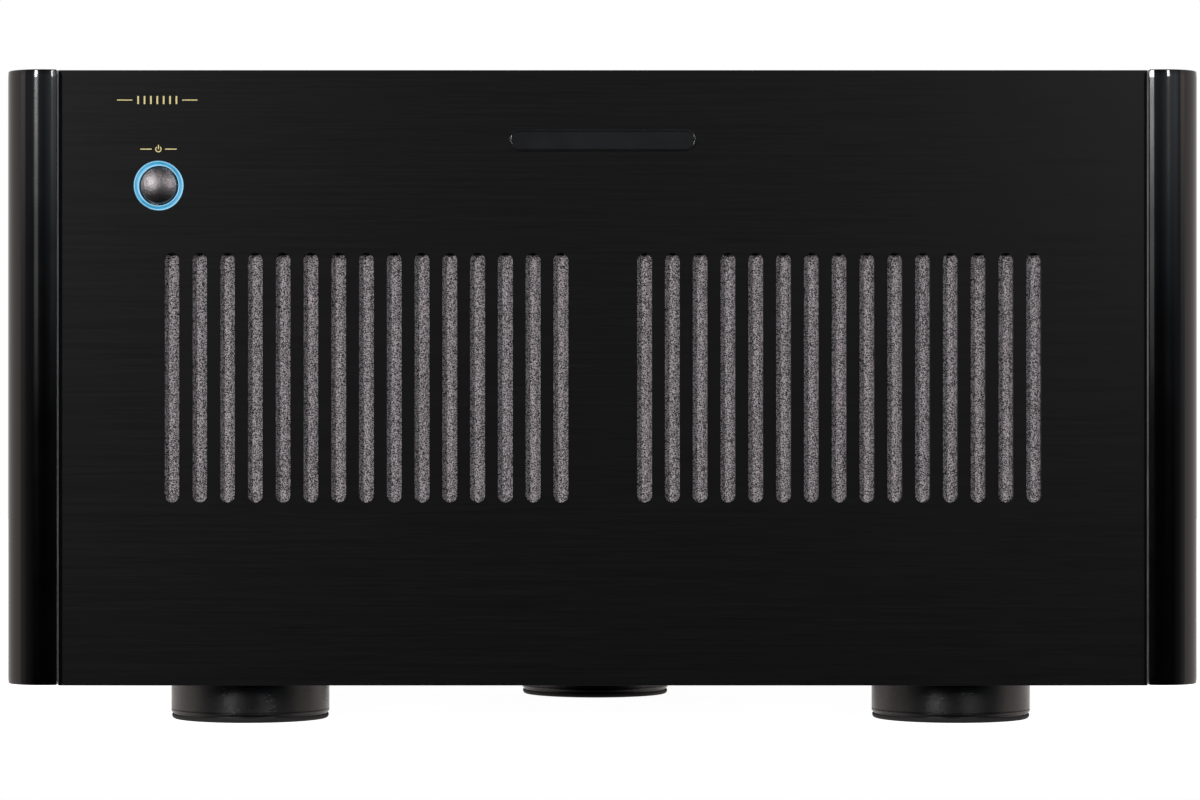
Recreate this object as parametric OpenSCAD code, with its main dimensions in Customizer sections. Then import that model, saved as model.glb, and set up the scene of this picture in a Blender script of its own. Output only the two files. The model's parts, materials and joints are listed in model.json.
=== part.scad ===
// Seven-channel power amplifier in a five-unit-high case.
// +Z is up, the front faces -Y, and the origin is on the surface it stands on,
// under the middle of its bounding box. Millimetres.

/* [Case] */
// Width across the two corner pillars
body_w = 431; // [425:1:440]
// Height from the surface to the top edge of the front
body_h = 237; // [232:1:245]
// Depth from the pillar noses to the ends of the speaker terminals
body_d = 454; // [450:1:470]
// Gap under the front plate
skirt_z = 15; // [14:0.5:16]
// Thickness of the steel sheet in the covers
sheet_t = 1.5; // [1:0.1:2]

/* [Front] */
// Thickness of the front plate
plate_t = 3.5; // [3.5:0.5:5]
// Width of the front plate between the pillars
plate_w = 392.6; // [392:0.2:394.4]
// Radius of the rounded nose of a corner pillar
nose_r = 13.6; // [13:0.1:14]
// How far the nose stands in front of the plate
nose_reach = 5; // [4:0.5:6]
// Slots in each of the two grilles
slot_count = 15; // [8:1:15]
// Distance from slot to slot
slot_pitch = 10.03; // [9:0.01:10.1]
// Width of a slot
slot_w = 5.4; // [4:0.1:6]
// Length of a slot over its round ends
slot_l = 90; // [70:1:100]

/* [Power button] */
// Radius of the button's dome
button_r = 6.45; // [6:0.05:6.6]
// Travel of the button
button_travel = 1.5; // [1:0.1:1.5]

/* [Feet] */
// Radius of a foot
foot_r = 29.3; // [24:0.1:30]
// Height of the rubber pad under a foot
pad_h = 1.7; // [1.5:0.1:3]

/* [Channels] */
// Distance from channel to channel on the rear panel
channel_pitch = 54; // [50:1:55]
// Distance between the two speaker terminals of a channel
post_pitch = 19.05; // [19:0.05:22]
// Radius of the banana socket in a speaker terminal
banana_r = 2; // [1.9:0.05:2.1]

/* [Hidden] */
$fn = 48;
channels = 7;
clear = 0.05;                       // radial clearance of a turning or sliding fit
wide = 2;                           // how far a cutting tool passes a face
side_x = body_w / 2 - 2.3;          // inner face of the side panels and pillar walls
side_y = -body_d / 2 + 41;          // front edge of the side panels
nose_x = body_w / 2 - nose_r;       // axis of a pillar nose
nose_y = -body_d / 2 + nose_r;
plate_y = -body_d / 2 + nose_reach; // front face of the front plate
plate_back = plate_y + plate_t;
chassis_y = plate_back + sheet_t;   // back face of the subpanel
post_reach = 29;                    // how far the speaker terminals stand out
rear_t = 2;
rear_y = body_d / 2 - post_reach;   // outer face of the rear panel
rear_in = rear_y - rear_t;
base_z = skirt_z + 1;               // underside of the base plate
floor_z = base_z + sheet_t;         // its upper side
cover_t = 1.2;
cover_z = body_h - 1;               // top face of the cover
roof_z = cover_z - cover_t;
flange_w = 12;                      // inward flanges of the side panels
flange_x = side_x - flange_w;

// Front: slots, button and badge
slot_first = 15.1;
slot_z = 126;
button_x = -160.3;
button_z = 195.4;
ring_r = 9;
ring_in = 7.2;
dome_h = 1.3;
badge_size = [67.4, 0.7, 7.8];
badge_z = 211.7;

// Feet: four at the corners and one under the transformers
foot_places = [[-130.2, -175], [130.2, -175], [-130.2, 150], [130.2, 150], [0, -45]];

// Rear panel rows, one column for each channel
xlr_z = 205;
rca_z = 174;
rca_dx = -13;
selector_dx = 11;
post_z = 130;
inlet_at = [-24, 56];
rocker_at = [28, 56];
jack_places = [[118, 56], [140, 56]];
knob_h = 22.3;
knob_r = 8;
knob_y = rear_y + 5.7;
flute_count = 14;
rocker_tilt = 8;
selector_travel = 4;

// Inside
sink_x = 157;                       // inner face of a heat sink
sink_slab = 6;
fin_tip = 199;
fin_pitch = 9;
fin_t = 2;
sink_y = [-200, 151];
sink_z = [floor_z, 230];
toroid_at = [72, -125];
toroid_r = 66;
toroid_h = 72;
toroid_bore = 22;
cap_r = 17.5;
cap_h = 80;
board_t = 1.6;
supply_z = 34;
left_modules = [-24, 26, 76, 126];
right_modules = [-20, 45, 110];
input_y = rear_in - 24;

// ---- shared shapes ----

function channel_x(c) = (c - (channels + 1) / 2) * channel_pitch;

// A slot with round ends, long along X, centred, cut through along Z.
module slot(length, width, depth) {
    cube([length - width, width, depth], center = true);
    for (s = [-1, 1])
        translate([s * (length - width) / 2, 0, 0])
            cylinder(d = width, h = depth, center = true);
}

// A cylinder along +Y from y0 to y1.
module rod(r, y0, y1) {
    translate([0, y0, 0]) rotate([-90, 0, 0]) cylinder(r = r, h = y1 - y0);
}

// A rectangle with true round corners.
module round_rect(w, h, r) {
    square([w - 2 * r, h], center = true);
    square([w, h - 2 * r], center = true);
    for (x = [-1, 1], y = [-1, 1])
        translate([x * (w / 2 - r), y * (h / 2 - r)]) circle(r = r);
}

// A pan-head screw standing on the plane z = 0, with its shank below.
module screw(head_r, head_h, shank_r, shank_l) {
    cylinder(r = head_r, h = head_h);
    translate([0, 0, -shank_l]) cylinder(r = shank_r, h = shank_l + 0.1);
}

// Children stand at each cover screw.
module at_cover_screws() {
    for (s = [-1, 1], y = [-170, -85, 0, 85, 170])
        translate([s * (flange_x + 6), y, 0]) children();
}

// Children stand at each rear panel screw.
module at_rear_screws() {
    for (s = [-1, 1], z = [32, 90, 160, 222])
        translate([s * (flange_x + 6), 0, z]) children();
}

// Children stand on each channel's column of the rear panel.
module at_channels() {
    for (c = [1:channels]) translate([channel_x(c), 0, 0]) children();
}

// ---- front ----

module front_plate() {
    color([0.06, 0.06, 0.065])
    difference() {
        translate([-plate_w / 2, plate_y, skirt_z]) cube([plate_w, plate_t, body_h - skirt_z]);
        for (side = [-1, 1], i = [0:slot_count - 1])
            translate([side * (slot_first + i * slot_pitch), plate_y + plate_t / 2, slot_z])
                rotate([90, 90, 0]) slot(slot_l, slot_w, plate_t + wide);
        translate([button_x, 0, button_z]) rod(ring_r + clear, plate_y - wide, plate_back + wide);
    }
}

// Plan outline of the right-hand pillar: a round nose that runs back into a thin side wall.
module pillar_outline() {
    difference() {
        union() {
            translate([nose_x, nose_y]) circle(r = nose_r, $fn = 96);
            translate([side_x, nose_y]) square([body_w / 2 - side_x, side_y - nose_y - 0.2]);
        }
        translate([nose_x - 2 * nose_r, nose_y - 2 * nose_r])
            square([plate_w / 2 + 0.3 - nose_x + 2 * nose_r, 4 * nose_r]);
        translate([nose_x - 2 * nose_r, plate_back]) square([side_x - nose_x + 2 * nose_r, 4 * nose_r]);
    }
}

module right_pillar() {
    color([0.03, 0.03, 0.035])
    translate([0, 0, skirt_z + 0.4]) linear_extrude(body_h - skirt_z - 0.4) pillar_outline();
}

module left_pillar() {
    mirror([1, 0, 0]) right_pillar();
}

module front_subpanel() {
    color([0.42, 0.41, 0.42])
    difference() {
        translate([-side_x, plate_back, floor_z]) cube([2 * side_x, sheet_t, roof_z - floor_z]);
        translate([button_x, 0, button_z]) rod(ring_in, plate_back - wide, chassis_y + wide);
    }
}

module front_badge() {
    color([0.05, 0.05, 0.05])
    translate([0, plate_y - badge_size.y / 2, badge_z])
        rotate([90, 0, 0]) slot(badge_size.x, badge_size.z, badge_size.y);
}

module led_ring() {
    color([0.4, 0.75, 0.95])
    translate([button_x, 0, button_z])
        difference() {
            rod(ring_r, plate_y - 0.4, plate_back);
            rod(ring_in, plate_y - wide, plate_back + wide);
        }
}

button_flange = chassis_y + 0.3;
switch_y = button_flange + 1.5 + button_travel + 0.7;
switch_d = 4.5;

// Domed cap, skirt, retaining flange behind the subpanel, and stem.
module power_button() {
    dome_r = (button_r * button_r + dome_h * dome_h) / (2 * dome_h);
    rim_y = plate_y + 0.3;
    color([0.12, 0.12, 0.13])
    translate([button_x, 0, button_z]) {
        intersection() {
            translate([0, rim_y - dome_h + dome_r, 0]) sphere(r = dome_r, $fn = 96);
            rod(button_r, rim_y - dome_h - wide, rim_y);
        }
        rod(button_r, rim_y, button_flange + 0.1);
        rod(ring_in + 1.2, button_flange, button_flange + 1.5);
        rod(2, button_flange + 1.4, switch_y + 2.6);
    }
}

module standby_board() {
    color([0.05, 0.25, 0.12])
    translate([button_x, 0, button_z]) {
        difference() {
            translate([-6, switch_y, -6]) cube([12, switch_d, 12]);
            rod(2 + clear, switch_y - wide, switch_y + switch_d - 0.2);
        }
        translate([-20, switch_y + switch_d, -15]) cube([40, board_t, 30]);
        for (x = [-16, 16], z = [-11, 11])
            translate([x, 0, z]) rod(2.5, chassis_y, switch_y + switch_d);
    }
}

// ---- covers ----

// Flat sheet between the side panels, from the front plate to the rear face.
module deck(z, t) {
    translate([-side_x, plate_back, z]) cube([2 * side_x, rear_y - plate_back, t]);
}

cover_vents_y = [-190, 160];
cover_vent_pitch = 10;
cover_vent_columns = [-181, -92, 0, 92, 181];

module top_cover() {
    color([0.07, 0.07, 0.07])
    difference() {
        deck(roof_z, cover_t);
        for (x = cover_vent_columns, y = [cover_vents_y[0]:cover_vent_pitch:cover_vents_y[1]])
            translate([x, y, roof_z + cover_t / 2])
                slot(abs(x) > 100 ? 34 : 60, 4, cover_t + wide);
        at_cover_screws() translate([0, 0, roof_z - wide]) cylinder(r = 1.7, h = cover_t + 2 * wide);
    }
}

module base_plate() {
    color([0.07, 0.07, 0.07])
    difference() {
        deck(base_z, sheet_t);
        for (s = [-1, 1], y = [-140:10:115])
            translate([s * 181, y, base_z + sheet_t / 2]) slot(30, 4, sheet_t + wide);
        for (p = foot_places)
            translate([p.x, p.y, base_z - wide]) cylinder(r = 2.1, h = sheet_t + 2 * wide);
        for (s = [-1, 1])
            translate([s * toroid_at.x, toroid_at.y, base_z - wide])
                cylinder(r = 4.1, h = sheet_t + 2 * wide);
        for (s = [-1, 1])
            translate([s * bridge_at.x, bridge_at.y, base_z - wide])
                cylinder(r = 2.1, h = sheet_t + 2 * wide);
    }
}

module right_side_panel() {
    color([0.07, 0.07, 0.07])
    difference() {
        union() {
            translate([side_x, side_y, base_z]) cube([sheet_t, rear_y - side_y, cover_z - base_z]);
            for (z = [floor_z, roof_z - sheet_t])
                translate([flange_x, side_y, z]) cube([flange_w + 0.1, rear_in - side_y, sheet_t]);
            translate([flange_x, rear_in - sheet_t, floor_z])
                cube([flange_w + 0.1, sheet_t, roof_z - floor_z]);
        }
        at_cover_screws() translate([0, 0, roof_z - 3 * wide]) cylinder(r = 1.7, h = 4 * wide);
        at_rear_screws() rod(1.7, rear_in - 2 * wide, rear_in + wide);
    }
}

module left_side_panel() {
    mirror([1, 0, 0]) right_side_panel();
}

rocker_hole = [22.4, 30.4];
inlet_hole = [27.4, 20];

module rear_panel() {
    color([0.07, 0.07, 0.07])
    difference() {
        translate([-side_x, rear_in, floor_z]) cube([2 * side_x, rear_t, roof_z - floor_z]);
        at_channels() {
            translate([0, 0, xlr_z]) rod(12, rear_in - wide, rear_y + wide);
            for (s = [-1, 1])
                translate([s * 9.5, 0, xlr_z + s * 12]) rod(1.6, rear_in - wide, rear_y + wide);
            translate([rca_dx, 0, rca_z]) rod(4.4, rear_in - wide, rear_y + wide);
            translate([selector_dx - 5, rear_in - wide, rca_z - 2.2]) cube([10, rear_t + 2 * wide, 4.4]);
            for (s = [-1, 1])
                translate([s * post_pitch / 2, 0, post_z]) rod(6.2, rear_in - wide, rear_y + wide);
        }
        translate([inlet_at.x - inlet_hole.x / 2, rear_in - wide, inlet_at.y - inlet_hole.y / 2])
            cube([inlet_hole.x, rear_t + 2 * wide, inlet_hole.y]);
        translate([rocker_at.x - rocker_hole.x / 2, rear_in - wide, rocker_at.y - rocker_hole.y / 2])
            cube([rocker_hole.x, rear_t + 2 * wide, rocker_hole.y]);
        for (p = jack_places) translate([p.x, 0, p.y]) rod(3.1, rear_in - wide, rear_y + wide);
        for (i = [0:11]) {
            translate([-188 + i * 9, rear_y - rear_t / 2, 60])
                rotate([90, 90, 0]) slot(50, 4, rear_t + wide);
        }
        for (x = [-20, 20])
            translate([inlet_at.x + x, 0, inlet_at.y]) rod(1.7, rear_in - wide, rear_y + wide);
        at_rear_screws() rod(1.7, rear_in - wide, rear_y + wide);
    }
}

// ---- feet ----

// Round body with a groove above its pad and a recess for the screw.
module foot_bodies() {
    color([0.1, 0.1, 0.1])
    for (p = foot_places) translate([p.x, p.y, 0])
        difference() {
            union() {
                translate([0, 0, pad_h + 0.6])
                    cylinder(r = foot_r, h = base_z - pad_h - 0.6, $fn = 96);
                translate([0, 0, pad_h]) cylinder(r = foot_r - 0.8, h = 1, $fn = 96);
            }
            cylinder(r = 9, h = 8, $fn = 96);
            cylinder(r = 2.1, h = base_z + wide);
        }
}

// Rubber ring glued under each foot.
module foot_pads() {
    color([0.06, 0.06, 0.06])
    for (p = foot_places) translate([p.x, p.y, 0])
        difference() {
            union() {
                translate([0, 0, 0.7]) cylinder(r = foot_r - 0.2, h = pad_h - 0.7, $fn = 96);
                cylinder(r1 = foot_r - 1, r2 = foot_r - 0.2, h = 0.7, $fn = 96);
            }
            translate([0, 0, -wide]) cylinder(r = 9, h = pad_h + 2 * wide, $fn = 96);
        }
}

// ---- inside ----

// Comb profile of the right-hand heat sink, extruded upwards: a slab with fins that point outwards.
module right_heat_sink() {
    color([0.35, 0.35, 0.37])
    translate([0, 0, sink_z[0]]) linear_extrude(sink_z[1] - sink_z[0]) {
        translate([sink_x, sink_y[0]]) square([sink_slab, sink_y[1] - sink_y[0]]);
        for (y = [sink_y[0]:fin_pitch:sink_y[1] - fin_t])
            translate([sink_x + sink_slab - 0.1, y]) square([fin_tip - sink_x - sink_slab + 0.1, fin_t]);
    }
}

module left_heat_sink() {
    mirror([1, 0, 0]) right_heat_sink();
}

transistor = [5, 16, 21];
module_size = [46, 130];
module_z = 70;

// One amplifier module's board, on the inner side of the right-hand heat sink.
module amp_boards(places) {
    color([0.05, 0.25, 0.12])
    for (y = places) translate([sink_x - transistor.x - board_t, y - module_size.x / 2, module_z])
        cube([board_t, module_size.x, module_size.y]);
}

module right_amp_boards() { amp_boards(right_modules); }

module left_amp_boards() { mirror([1, 0, 0]) amp_boards(left_modules); }

module transistors(places) {
    for (y = places, s = [-1, 1], z = [module_z + 12, module_z + 70])
        translate([sink_x - transistor.x, y + s * 11 - transistor.y / 2, z]) cube(transistor);
}

module output_transistors() {
    color([0.08, 0.08, 0.08]) {
        transistors(right_modules);
        mirror([1, 0, 0]) transistors(left_modules);
    }
}

module right_transformer() {
    color([0.55, 0.3, 0.12])
    translate([toroid_at.x, toroid_at.y, floor_z + 2])
        rotate_extrude($fn = 96)
            translate([(toroid_r + toroid_bore) / 2, toroid_h / 2])
                round_rect(toroid_r - toroid_bore, toroid_h, 12);
}

module left_transformer() {
    mirror([1, 0, 0]) right_transformer();
}

// For each transformer a pad under it, a plate on top, and a bolt and nut through its middle.
module transformer_clamps() {
    color([0.6, 0.6, 0.62])
    for (s = [-1, 1]) translate([s * toroid_at.x, toroid_at.y, floor_z]) {
        difference() {
            translate([0, 0, toroid_h + 2]) cylinder(r = 42, h = 2, $fn = 96);
            translate([0, 0, toroid_h]) cylinder(r = 4.1, h = 3 * wide);
        }
        difference() {
            cylinder(r = 60, h = 2, $fn = 96);
            translate([0, 0, -wide]) cylinder(r = 4.1, h = 3 * wide);
        }
        translate([0, 0, base_z - floor_z]) cylinder(r = 4, h = toroid_h + 12);
        translate([0, 0, base_z - floor_z - 3]) cylinder(r = 7, h = 3);
        translate([0, 0, toroid_h + 4])
            difference() {
                cylinder(r = 7.5, h = 6, $fn = 6);
                translate([0, 0, -wide]) cylinder(r = 4, h = 6 + 2 * wide);
            }
    }
}

cap_xs = [-72, -24, 24, 72];
cap_ys = [24, 68];

module filter_capacitors() {
    color([0.05, 0.07, 0.12])
    for (x = cap_xs, y = cap_ys) translate([x, y, supply_z + board_t]) cylinder(r = cap_r, h = cap_h);
}

supply_size = [196, 96];

module power_supply_board() {
    color([0.05, 0.25, 0.12])
    translate([-supply_size.x / 2, -2, supply_z]) cube([supply_size.x, supply_size.y, board_t]);
}

bridge_at = [45, -34];
bridge_size = [28, 28, 11];

module rectifier_bridges() {
    color([0.1, 0.1, 0.1])
    for (s = [-1, 1]) translate([s * bridge_at.x, bridge_at.y, floor_z])
        difference() {
            translate([0, 0, bridge_size.z / 2]) cube(bridge_size, center = true);
            translate([0, 0, -wide]) cylinder(r = 2.4, h = bridge_size.z + 2 * wide);
        }
}

// Upright board behind the input sockets, with a switch housing for each channel's selector.
module input_board() {
    color([0.05, 0.25, 0.12]) {
        translate([-190, input_y - board_t, 158]) cube([380, board_t, 68]);
        at_channels() translate([selector_dx, 0, rca_z])
            difference() {
                translate([-8, input_y, -5]) cube([16, rear_in - input_y - 4, 10]);
                translate([-4.5, rear_in - 14, -2.1]) cube([9, 14, 4.2]);
            }
    }
}

// ---- rear connectors ----

xlr_flange = [26, 31];
xlr_depth = rear_y + 2 - input_y;

module xlr_shells() {
    color([0.08, 0.08, 0.085])
    at_channels() translate([0, 0, xlr_z])
        difference() {
            union() {
                translate([0, rear_y + 2, 0]) rotate([90, 0, 0])
                    linear_extrude(2) round_rect(xlr_flange.x, xlr_flange.y, 3);
                rod(11.8, input_y, rear_y + 0.1);
            }
            rod(8.3, rear_y - 12, rear_y + 2 + wide);
            translate([-1.2, rear_y - 12, 7]) cube([2.4, 14 + wide, 3.2]);
            for (s = [-1, 1])
                translate([s * 9.5, 0, s * 12]) rod(1.6, rear_y - wide, rear_y + 2 + wide);
        }
}

// Socket insert with its three contact holes at three, six and nine o'clock.
module xlr_inserts() {
    color([0.03, 0.03, 0.03])
    at_channels() translate([0, 0, xlr_z])
        difference() {
            rod(7.1, rear_y - 12, rear_y + 1.5);
            for (a = [0, 90, 180])
                rotate([0, a, 0]) translate([4.04, 0, 0]) rod(1.25, rear_y - 8, rear_y + 1.5 + wide);
        }
}

rca_reach = 11;

module rca_shells() {
    color([0.83, 0.62, 0.25])
    at_channels() translate([rca_dx, 0, rca_z])
        difference() {
            union() {
                rod(4.15, input_y, rear_y + rca_reach);
                rod(6.4, rear_y, rear_y + 1.5);
            }
            rod(3.3, rear_y - 6, rear_y + rca_reach + wide);
        }
}

module rca_inserts() {
    color([0.85, 0.85, 0.82])
    at_channels() translate([rca_dx, 0, rca_z])
        difference() {
            rod(3.3 - clear, rear_y - 6, rear_y + rca_reach - 1);
            rod(1.6, rear_y + 0.6, rear_y + rca_reach);
        }
}

// Threaded stem of a speaker terminal, with its contact face and banana socket.
module post_stem() {
    difference() {
        union() {
            rod(4, rear_in - 14, body_d / 2);
            rod(7.5, rear_y + 4, rear_y + 5.5);
        }
        rod(banana_r, body_d / 2 - 20, body_d / 2 + wide);
        translate([0, rear_y + 7.4, -6]) cylinder(r = 1.4, h = 12);
    }
}

module post_stems() {
    color([0.83, 0.62, 0.25])
    at_channels()
        for (s = [-1, 1]) translate([s * post_pitch / 2, 0, post_z]) post_stem();
}

module post_bases() {
    color([0.04, 0.04, 0.04])
    at_channels() translate([0, 0, post_z])
        difference() {
            union() {
                translate([0, rear_y + 4, 0]) rotate([90, 0, 0]) linear_extrude(4) round_rect(42, 22, 4);
                for (s = [-1, 1]) translate([s * post_pitch / 2, 0, 0]) rod(6.1, rear_in, rear_y + 0.1);
            }
            for (s = [-1, 1])
                translate([s * post_pitch / 2, 0, 0]) rod(4 + clear, rear_in - wide, rear_y + 4 + wide);
        }
}

// Fluted screw cap of a speaker terminal.
module terminal_cap(paint) {
    color(paint)
    difference() {
        union() {
            rod(knob_r, knob_y, knob_y + knob_h - 4);
            rod(knob_r - 1, knob_y + knob_h - 4.1, knob_y + knob_h - 0.8);
            rod(knob_r - 1.8, knob_y + knob_h - 0.9, knob_y + knob_h);
        }
        rod(4 + clear, knob_y - wide, knob_y + knob_h + wide);
        for (i = [0:flute_count - 1])
            rotate([0, i * 360 / flute_count, 0])
                translate([knob_r + 0.55, 0, 0]) rod(1.3, knob_y + 4, knob_y + knob_h - 4 + wide);
    }
}

module red_terminal(c) {
    translate([channel_x(c) + post_pitch / 2, 0, post_z]) terminal_cap([0.6, 0.03, 0.03]);
}

module black_terminal(c) {
    translate([channel_x(c) - post_pitch / 2, 0, post_z]) terminal_cap([0.05, 0.05, 0.05]);
}

// Lever of a slide switch, standing at the XLR end of its travel.
module input_selector(c) {
    color([0.5, 0.5, 0.5])
    translate([channel_x(c) + selector_dx - selector_travel / 2, 0, rca_z]) {
        translate([-2, rear_in - 8, -1.8]) cube([4, rear_y - rear_in + 10, 3.6]);
        translate([-2.4, rear_in - 12, -2]) cube([4.8, 4.1, 4]);
    }
}

module inlet_recess(depth) {
    translate([-11.9, -depth, -8]) cube([23.8, depth + wide, 12.2]);
    translate([-8.2, -depth, 4]) cube([16.4, depth + wide, 4.2]);
}

module mains_inlet() {
    color([0.04, 0.04, 0.04])
    translate([inlet_at.x, rear_y + 2.5, inlet_at.y])
        difference() {
            union() {
                rotate([90, 0, 0]) linear_extrude(2.5) round_rect(50, 23, 3);
                translate([-13.5, -26.5, -9.8]) cube([27, 24.1, 19.6]);
            }
            inlet_recess(17);
            for (x = [-20, 20]) translate([x, 0, 0]) rod(1.7, -2.5 - wide, wide);
        }
}

// Two flat line blades low in the recess and the earth blade above, with their tails.
module mains_pins() {
    color([0.75, 0.75, 0.77])
    translate([inlet_at.x, rear_y + 2.5 - 17, inlet_at.y])
        for (p = [[-7, -2], [7, -2], [0, 2]]) translate([p.x - 1, 0, p.y - 2]) cube([2, 15, 4]);
}

rocker_pivot = rear_in - 5.5;

module rocker_frame() {
    color([0.04, 0.04, 0.04])
    translate([rocker_at.x, 0, rocker_at.y])
        difference() {
            union() {
                translate([-12.5, rear_y, -17]) cube([25, 2, 34]);
                translate([-11.1, rear_in - 18, -15.1]) cube([22.2, 20.1, 30.2]);
            }
            translate([-9.4, rear_in - 16, -13.8]) cube([18.8, 22, 27.6]);
            translate([0, rocker_pivot, 0]) rotate([0, 90, 0]) cylinder(r = 1.5 + clear, h = 20.6, center = true);
        }
}

// Two-sided rocker on its cross pin, drawn pressed in at the top.
module mains_rocker() {
    half = 12.3;
    crest = 8.5;
    color([0.05, 0.05, 0.05])
    translate([rocker_at.x, rocker_pivot, rocker_at.y]) {
        rotate([rocker_tilt, 0, 0]) rotate([90, 0, 90])
            linear_extrude(18.4, center = true)
                polygon([[-3, -half], [crest + half * tan(rocker_tilt), -half], [crest, 0],
                         [crest + half * tan(rocker_tilt), half], [-3, half]]);
        rotate([0, 90, 0]) cylinder(r = 1.5, h = 20, center = true);
    }
}

module trigger_jacks() {
    color([0.05, 0.05, 0.05])
    for (p = jack_places) translate([p.x, 0, p.y])
        difference() {
            union() {
                translate([-5, rear_in - 12, -5]) cube([10, 12, 10]);
                rod(3, rear_in - 0.1, rear_y + 1.5);
                rod(4.2, rear_y, rear_y + 1.5);
            }
            rod(1.8, rear_in - 10, rear_y + 1.5 + wide);
        }
}

// ---- fasteners ----

module screws_and_standoffs() {
    color([0.1, 0.1, 0.1]) {
        at_cover_screws() translate([0, 0, cover_z]) screw(3, 1, 1.5, 6);
        at_rear_screws() translate([0, rear_y, 0]) rotate([-90, 0, 0]) screw(3, 1.4, 1.5, 6);
        at_channels() for (s = [-1, 1])
            translate([s * 9.5, rear_y + 2, xlr_z + s * 12]) rotate([-90, 0, 0]) screw(2.6, 0.9, 1.5, 6);
        for (x = [-20, 20])
            translate([inlet_at.x + x, rear_y + 2.5, inlet_at.y]) rotate([-90, 0, 0]) screw(3, 1.2, 1.5, 8);
        for (s = [-1, 1])
            translate([s * bridge_at.x, bridge_at.y, floor_z + bridge_size.z])
                screw(4, 2.4, 2, bridge_size.z + sheet_t + 1);
        for (p = foot_places) {
            translate([p.x, p.y, 8]) rotate([180, 0, 0]) screw(4, 2.4, 2, base_z - 8 + 6);
            translate([p.x, p.y, floor_z]) cylinder(r = 4, h = 3.2, $fn = 6);
        }
        for (x = [-1, 1], y = [3, 89])
            translate([x * 92, y, floor_z]) cylinder(r = 3, h = supply_z - floor_z);
    }
}

// ---- assembly ----

front_plate();
left_pillar();
right_pillar();
front_subpanel();
front_badge();
led_ring();
power_button();
standby_board();
top_cover();
left_side_panel();
right_side_panel();
base_plate();
rear_panel();
foot_bodies();
foot_pads();
left_heat_sink();
right_heat_sink();
left_amp_boards();
right_amp_boards();
output_transistors();
left_transformer();
right_transformer();
transformer_clamps();
filter_capacitors();
power_supply_board();
rectifier_bridges();
input_board();
xlr_shells();
xlr_inserts();
rca_shells();
rca_inserts();
post_stems();
post_bases();
mains_inlet();
mains_pins();
rocker_frame();
mains_rocker();
trigger_jacks();
screws_and_standoffs();
for (c = [1:channels]) {
    input_selector(c);
    red_terminal(c);
    black_terminal(c);
}
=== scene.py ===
import json
import math

import bmesh
import bpy
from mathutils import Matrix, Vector

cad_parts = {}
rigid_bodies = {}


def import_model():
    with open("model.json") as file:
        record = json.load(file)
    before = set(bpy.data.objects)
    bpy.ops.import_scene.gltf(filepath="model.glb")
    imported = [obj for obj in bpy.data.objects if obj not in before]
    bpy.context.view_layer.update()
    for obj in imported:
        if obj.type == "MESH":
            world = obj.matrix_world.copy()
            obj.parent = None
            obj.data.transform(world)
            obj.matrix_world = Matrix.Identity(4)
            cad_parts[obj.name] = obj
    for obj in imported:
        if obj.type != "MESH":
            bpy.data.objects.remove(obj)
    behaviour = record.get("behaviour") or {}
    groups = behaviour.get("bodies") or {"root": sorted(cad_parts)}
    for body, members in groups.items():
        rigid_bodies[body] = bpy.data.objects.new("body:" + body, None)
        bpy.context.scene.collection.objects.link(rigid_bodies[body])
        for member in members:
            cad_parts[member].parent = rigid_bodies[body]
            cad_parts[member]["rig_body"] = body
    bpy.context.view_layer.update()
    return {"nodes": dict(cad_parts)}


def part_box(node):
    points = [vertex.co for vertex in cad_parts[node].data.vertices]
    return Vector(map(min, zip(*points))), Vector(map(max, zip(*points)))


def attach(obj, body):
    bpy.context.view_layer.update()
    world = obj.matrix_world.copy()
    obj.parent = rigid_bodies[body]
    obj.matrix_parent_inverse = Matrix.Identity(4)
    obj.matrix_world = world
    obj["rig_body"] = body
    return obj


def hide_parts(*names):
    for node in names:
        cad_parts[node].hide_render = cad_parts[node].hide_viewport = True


# Seven-channel power amplifier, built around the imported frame. Shapes are drawn in millimetres in
# the row frame: the front faces -Y, +Z is up, and the surface it stands on is z = 0.

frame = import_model()
MM = 0.001
CHANNELS = range(1, 8)


def box(node):
    """Lowest and highest corners of a CAD node, in millimetres."""
    low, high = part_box(node)
    return low / MM, high / MM


def middle(node):
    low, high = box(node)
    return (low + high) / 2


# ---- outlines and solids ----


def arc(centre, radius, start, end, steps):
    """Points of an arc in a plane, angles in degrees."""
    turn = [math.radians(start + (end - start) * k / steps) for k in range(steps + 1)]
    return [(centre[0] + radius * math.cos(t), centre[1] + radius * math.sin(t)) for t in turn]


def rectangle(width, height, centre=(0, 0)):
    x, y = width / 2, height / 2
    return [(centre[0] + a, centre[1] + b) for a, b in ((-x, -y), (x, -y), (x, y), (-x, y))]


def rounded(outline, radius, steps=6):
    """The outline with its corners rounded: one radius for all, or a radius for each corner."""
    radii = radius if isinstance(radius, (list, tuple)) else [radius] * len(outline)
    made = []
    for i, (corner, r) in enumerate(zip(outline, radii)):
        if not r:
            made.append(corner)
            continue
        point = Vector(corner)
        before = (Vector(outline[i - 1]) - point).normalized()
        after = (Vector(outline[(i + 1) % len(outline)]) - point).normalized()
        half = before.angle(after) / 2
        centre = point + (before + after).normalized() * r / math.sin(half)
        first = point + before * r / math.tan(half) - centre
        sweep = math.pi - 2 * half
        if before.x * after.y - before.y * after.x > 0:
            sweep = -sweep
        base = math.atan2(first.y, first.x)
        made += [(centre.x + r * math.cos(base + sweep * k / steps),
                  centre.y + r * math.sin(base + sweep * k / steps)) for k in range(steps + 1)]
    return made


def stadium(length, width, steps=16):
    return rounded(rectangle(length, width), width / 2 - 0.001, steps)


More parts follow.
